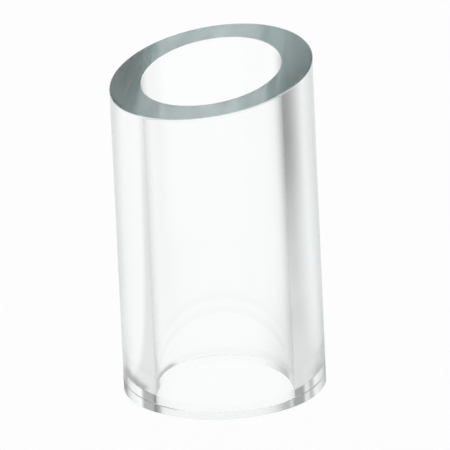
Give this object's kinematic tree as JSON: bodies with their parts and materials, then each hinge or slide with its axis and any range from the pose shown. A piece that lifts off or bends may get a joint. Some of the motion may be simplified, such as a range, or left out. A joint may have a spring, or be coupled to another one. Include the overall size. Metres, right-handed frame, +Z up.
{
  "type": "guitar slide",
  "caption": "Thick clear glass tube worn on a finger to slide along guitar strings, cut square at one end and at a slant at the other.",
  "frame": {"origin": "on the tube's axis at the flat face of the square end, which the slide stands on", "axes": "+Z up the tube's axis towards the slanted end, +X towards the wall's long side, +Y across the slope so that XZ is the mirror plane"},
  "size_m": [0.029, 0.029, 0.0499],
  "materials": {
    "clear_glass": "clear polished glass with a grey-green edge tint"
  },
  "bodies": {
    "root": {"glass_tube": "clear_glass"}
  },
  "joints": []
}
